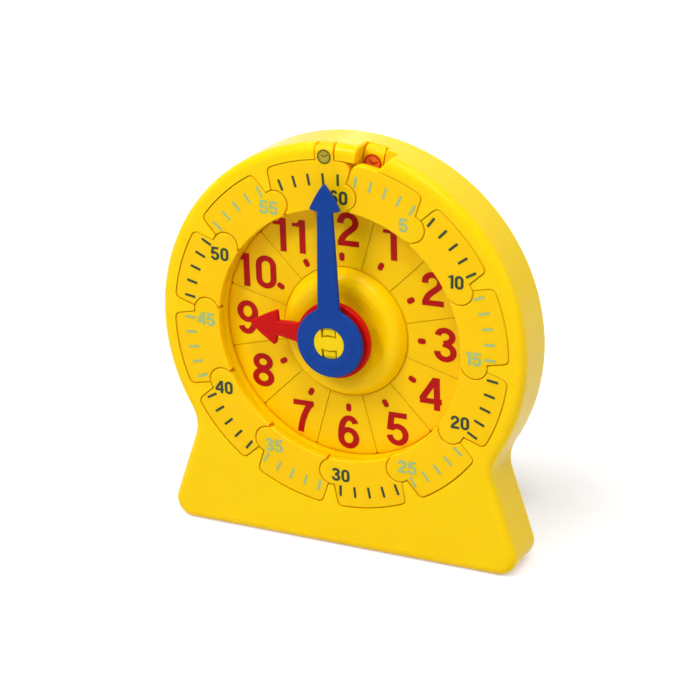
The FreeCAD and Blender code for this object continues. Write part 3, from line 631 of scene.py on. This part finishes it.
def cross(arm, half):
    """The outline of a cross whose arms have this length and half width."""
    return [(arm, -half), (arm, half), (half, half), (half, arm), (-half, arm), (-half, half),
            (-arm, half), (-arm, -half), (-half, -half), (-half, -arm), (half, -arm),
            (half, -half)]


def circle(radius):
    """A round about the screw's axis."""
    turns = [2 * math.pi * i / SCREW_SIDES for i in range(SCREW_SIDES)]
    return [(radius * math.cos(t), radius * math.sin(t)) for t in turns]


def threaded(depth):
    """The round of the shank at a depth below the head, with the thread's ridge on it."""
    outline = []
    for i, (x, z) in enumerate(circle(1.0)):
        phase = (depth / SCREW_PITCH - i / SCREW_SIDES) % 1.0
        ridge = max(0.0, 1 - abs(phase - 0.5) / RIDGE_HALF)
        radius = SCREW_CORE + (SCREW_THREAD - SCREW_CORE) * ridge
        outline.append((radius * x, radius * z))
    return outline


def screw_mesh(head_radius, length):
    """A cross-recessed screw along -Y, the back of its head at the origin."""
    mesh = bmesh.new()

    def row(outline, y):
        """The outline's vertices at a depth."""
        return [mesh.verts.new((x, y, z)) for x, z in outline]

    def join(first, second):
        """Quads between two rows."""
        count = len(first)
        for i in range(count):
            after = (i + 1) % count
            mesh.faces.new((first[i], first[after], second[after], second[i]))

    rows = [row(circle(head_radius - SCREW_HEAD_BREAK), 0),
            row(circle(head_radius), -SCREW_HEAD_BREAK),
            row(circle(head_radius), -SCREW_HEAD_HEIGHT),
            row(circle(SCREW_CORE), -SCREW_HEAD_HEIGHT)]
    step = SCREW_PITCH / SCREW_ROWS_PER_PITCH
    count = int((length - SCREW_HEAD_HEIGHT - SCREW_TIP) / step)
    rows += [row(threaded(step * i), -SCREW_HEAD_HEIGHT - step * i)
             for i in range(1, count + 1)]
    rows.append(row(circle(SCREW_TIP_RADIUS), -length))
    for first, second in zip(rows, rows[1:]):
        join(first, second)
    mesh.faces.new(rows[-1])

    mouth, floor = cross(*RECESS_MOUTH), cross(*RECESS_FLOOR)
    rim = circle(head_radius - SCREW_HEAD_BREAK)
    corners = [Vector(p) for p in rim + mouth]
    outlines = [list(range(len(rim))), list(range(len(rim), len(corners)))]
    points, _, triangles, _, _, sources = delaunay_2d_cdt(corners, [], outlines, 0,
                                                          SCREW_MERGE_GAP)
    flat = row([tuple(p) for p in points], 0)
    for triangle, source in zip(triangles, sources):
        outside_recess = source == [0]
        if outside_recess:
            mesh.faces.new([flat[i] for i in triangle])
    join(row(mouth, 0), row(floor, -RECESS_DEPTH))
    mesh.faces.new(row(floor, -RECESS_DEPTH))
    bmesh.ops.delete(mesh, geom=[v for v in mesh.verts if not v.link_faces], context="VERTS")
    bmesh.ops.remove_doubles(mesh, verts=mesh.verts[:], dist=SCREW_WELD_GAP)
    bmesh.ops.recalc_face_normals(mesh, faces=mesh.faces[:])
    data = bpy.data.meshes.new("cover_screw")
    mesh.to_mesh(data)
    mesh.free()
    data.polygons.foreach_set("use_smooth", [True] * len(data.polygons))
    data.set_sharp_from_angle(angle=SCREW_SHARP_ANGLE)
    data.materials.append(FINISH["screw_steel"])
    return data


def drive_screws():
    """A detailed screw in the place of each plain one."""
    node = frame["nodes"]["cover_screws"]
    low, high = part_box("cover_screws")
    middle = (low + high) / 2
    corners = {}
    for vertex in node.data.vertices:
        point = node.matrix_world @ vertex.co
        corners.setdefault((point.z > middle.z, point.x > middle.x), []).append(point)
    shared = None
    for number, corner in enumerate(sorted(corners)):
        points = corners[corner]
        left, right = min(p.x for p in points), max(p.x for p in points)
        bottom, top = min(p.z for p in points), max(p.z for p in points)
        shared = shared or screw_mesh((right - left) / 2, high.y - low.y)
        screw = bpy.data.objects.new("cover_screw_%d" % (number + 1), shared)
        screw.location = ((left + right) / 2, high.y, (bottom + top) / 2)
        screw.rotation_euler = (0, math.radians(SCREW_TURNS[number]), 0)
        bpy.context.scene.collection.objects.link(screw)
        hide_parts("cover_screws")
        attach(screw, "housing")


# ---- studio ------------------------------------------------------------------------------
# The photograph's view, as fitted to the marks of the dial: angles in degrees, and the lens and
# sensor in millimetres. The last three place the camera from the middle of the dial.
CAMERA_RIGHT_TURN = 25.085
CAMERA_RISE = 20.814
CAMERA_ROLL = -0.562
CAMERA_LENS = 122.2
CAMERA_SENSOR = 36.0
CAMERA_CLIP = (0.05, 20.0)
CAMERA_DISTANCE = 767.3 * MM
CAMERA_ACROSS = 3.62 * MM
CAMERA_UP = -3.26 * MM


def set_camera():
    """The camera stands to the clock's right and above it, and looks past its axis."""
    turn, rise, roll = (math.radians(a) for a in (CAMERA_RIGHT_TURN, CAMERA_RISE, CAMERA_ROLL))
    back = Vector((math.sin(turn) * math.cos(rise), -math.cos(turn) * math.cos(rise),
                   math.sin(rise)))
    right = Vector((math.cos(turn), math.sin(turn), 0))
    up = back.cross(right)
    across = right * math.cos(roll) + up * math.sin(roll)
    upward = up * math.cos(roll) - right * math.sin(roll)
    data = bpy.data.cameras.new("camera")
    data.lens = CAMERA_LENS
    data.sensor_width = CAMERA_SENSOR
    data.clip_start, data.clip_end = CAMERA_CLIP
    camera = bpy.data.objects.new("camera", data)
    aim = Vector((0, FRONT, AXIS_HEIGHT))
    place = aim + across * CAMERA_ACROSS + upward * CAMERA_UP + back * CAMERA_DISTANCE
    camera.matrix_world = Matrix((
        (across.x, upward.x, back.x, place.x),
        (across.y, upward.y, back.y, place.y),
        (across.z, upward.z, back.z, place.z),
        (0, 0, 0, 1)))
    bpy.context.scene.collection.objects.link(camera)
    bpy.context.scene.camera = camera


# The place, width and power of each square softbox, in metres and watts.
SOFTBOXES = {
    "key_left": ((-0.50, -0.80, 1.00), 0.36, 7.1),
    "key_right": ((0.42, -0.78, 1.18), 0.14, 4.4),
    "side": ((1.10, -0.25, 0.45), 0.40, 0.9),
    "top": ((0.10, -0.15, 1.12), 0.50, 3.9),
    "back": ((-0.25, 1.25, 0.20), 0.60, 3.4),
}


def set_softboxes():
    """Every softbox shines on the middle of the dial, and isn't seen itself."""
    target = Vector((0, 0, AXIS_HEIGHT))
    for name, (place, size, power) in SOFTBOXES.items():
        data = bpy.data.lights.new(name, "AREA")
        data.shape = "SQUARE"
        data.size = size
        data.energy = power
        lamp = bpy.data.objects.new(name, data)
        lamp.location = place
        lamp.rotation_euler = (target - Vector(place)).to_track_quat("-Z", "Y").to_euler()
        lamp.visible_camera = False
        bpy.context.scene.collection.objects.link(lamp)


def seen_directly(tree):
    """1 for camera, mirror and glass rays, and 0 for the rays that light the object."""
    path = tree.nodes.new("ShaderNodeLightPath")
    seen = path.outputs["Is Camera Ray"]
    for kind in ("Is Glossy Ray", "Is Transmission Ray"):
        either = tree.nodes.new("ShaderNodeMath")
        either.operation = "MAXIMUM"
        tree.links.new(seen, either.inputs[0])
        tree.links.new(path.outputs[kind], either.inputs[1])
        seen = either.outputs[0]
    return seen


WORLD_LIGHT = 0.48
WORLD_SEEN = 1.0

FLOOR_HALF = 2.5
FLOOR_SEGMENTS = 24
FLOOR_ROUGHNESS = 0.85
FLOOR_TONE = 0.65
FLOOR_SPECK_TONE = FLOOR_TONE * 0.99

# The table top is lifted towards white: least at this spot, where the clock's shadow falls and
# the smaller lift paints extra shade into it, more where the shadow ends, and fully where the fade ends.
PAINTED_SHADE_SPOT = (40 * MM, 55 * MM, 0)
PAINTED_SHADE_REACH = 45 * MM
FADE_END = 450 * MM
FLOOR_LIFT_PAINTED_SHADE = 0.15
FLOOR_LIFT_NEAR = 0.44
FLOOR_LIFT_FAR = 0.80


def set_world():
    """A white surround that lights the object less brightly than it is seen."""
    world = bpy.data.worlds.new("studio")
    world.use_nodes = True
    bpy.context.scene.world = world
    tree = world.node_tree
    background = tree.nodes["Background"]
    background.inputs["Color"].default_value = (1, 1, 1, 1)
    strength = tree.nodes.new("ShaderNodeMapRange")
    strength.inputs["To Min"].default_value = WORLD_LIGHT
    strength.inputs["To Max"].default_value = WORLD_SEEN
    tree.links.new(seen_directly(tree), strength.inputs["Value"])
    tree.links.new(strength.outputs["Result"], background.inputs["Strength"])


def floor_lift(surface):
    """The lift of the table top by the distance from the shadow's spot; the smaller lift near the spot is painted
    shade.
    """
    place = surface.node("ShaderNodeTexCoord")
    distance = surface.node("ShaderNodeVectorMath", operation="DISTANCE")
    surface.link(place.outputs["Object"], distance.inputs[0])
    distance.inputs[1].default_value = PAINTED_SHADE_SPOT
    # Painted shade: less lift near the spot darkens the floor where the shadow falls.
    near = surface.spread(distance.outputs["Value"], 0, PAINTED_SHADE_REACH,
                          FLOOR_LIFT_PAINTED_SHADE, FLOOR_LIFT_NEAR)
    far = surface.spread(distance.outputs["Value"], PAINTED_SHADE_REACH, FADE_END,
                         0, FLOOR_LIFT_FAR - FLOOR_LIFT_NEAR)
    return surface.combined("ADD", near, far)


def set_floor():
    """A white table top that keeps the clock's soft shadow, deepened by painted shade near its spot, and is plain
    white further off.
    """
    mesh = bmesh.new()
    bmesh.ops.create_grid(mesh, x_segments=FLOOR_SEGMENTS, y_segments=FLOOR_SEGMENTS,
                          size=FLOOR_HALF)
    data = bpy.data.meshes.new("table_top")
    mesh.to_mesh(data)
    mesh.free()
    floor = bpy.data.objects.new("table_top", data)
    bpy.context.scene.collection.objects.link(floor)
    surface = Surface("table_white", Roughness=FLOOR_ROUGHNESS, Specular_IOR_Level=0.0)
    surface.colour_between(surface.noise(*SPECKS), (FLOOR_TONE,) * 3, (FLOOR_SPECK_TONE,) * 3)
    lift = surface.node("ShaderNodeEmission")
    surface.link(surface.combined("MULTIPLY", seen_directly(surface.tree), floor_lift(surface)),
                 lift.inputs["Strength"])
    both = surface.node("ShaderNodeAddShader")
    surface.link(surface.shader.outputs[0], both.inputs[0])
    surface.link(lift.outputs[0], both.inputs[1])
    surface.link(both.outputs[0], surface.tree.nodes["Material Output"].inputs["Surface"])
    data.materials.append(surface.material)


# ---- build -------------------------------------------------------------------------------
finish_nodes()
for minute in range(TICKS_PER_LINK, TICKS_PER_LINK * HOURS + 1, TICKS_PER_LINK):
    print_minutes(minute)
for hour in range(1, HOURS + 1):
    print_hour(hour)
print_symbol("symbol_minutes", BLUE_SYMBOL, LINK_FRONT, ink_olive, symbol_olive,
             "minute_line")
print_symbol("symbol_hours", RED_SYMBOL, TILE_FRONT, symbol_red, symbol_orange,
             "hour_line")
drive_screws()

set_camera()
set_world()
set_floor()
set_softboxes()
bpy.context.scene.view_settings.view_transform = "Standard"
